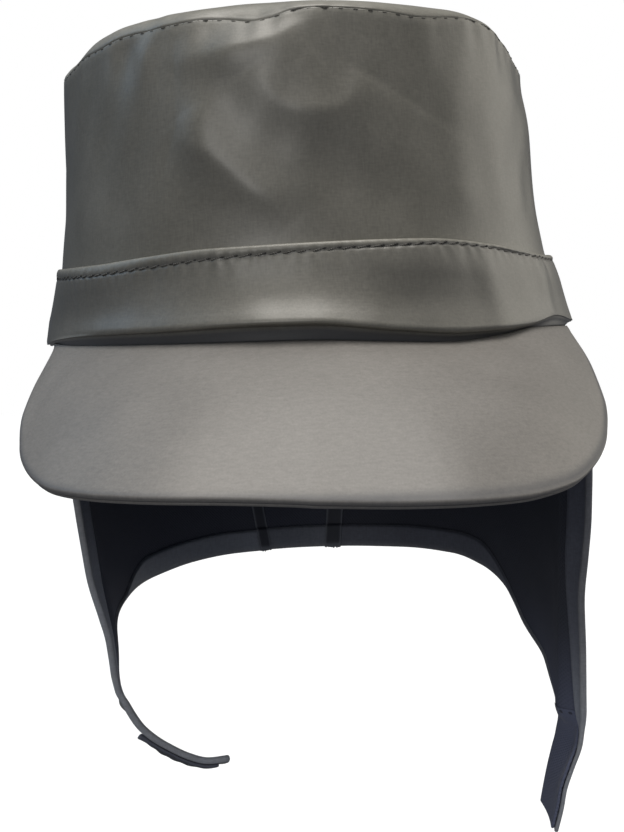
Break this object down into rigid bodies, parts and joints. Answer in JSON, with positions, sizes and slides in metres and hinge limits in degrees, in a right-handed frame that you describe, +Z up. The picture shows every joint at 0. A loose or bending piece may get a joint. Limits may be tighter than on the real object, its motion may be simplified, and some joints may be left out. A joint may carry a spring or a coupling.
{
  "type": "rain cap with ear flaps",
  "caption": "Tall soft rain cap of coated cloth with a sewn band, a stiff peak, a neck curtain with ear flaps and chin straps.",
  "frame": {"origin": "centre of the head opening, level with the lower edge of the band", "axes": "+Z up through the crown, -Y forward over the peak, +X to the right as seen facing the peak"},
  "size_m": [0.1759, 0.2604, 0.2574],
  "materials": {
    "coated_cloth": "matte rubbery coating with a soft satin sheen",
    "peak_cloth": "matte coating drawn smooth over a stiff board",
    "curtain_cloth": "dull woven inner face with coated folded hems",
    "seam_tape": "smooth heat-bonded tape",
    "hook_tape": "stiff hook tape",
    "loop_tape": "soft loop tape"
  },
  "bodies": {
    "root": {"crown_side": "coated_cloth", "crown_top": "coated_cloth", "band": "coated_cloth", "peak": "peak_cloth", "ear_flap_left": "curtain_cloth", "ear_flap_right": "curtain_cloth", "neck_panel": "curtain_cloth", "seam_tape_left": "seam_tape", "seam_tape_right": "seam_tape", "hook_patch": "hook_tape", "loop_patch": "loop_tape"}
  },
  "joints": []
}
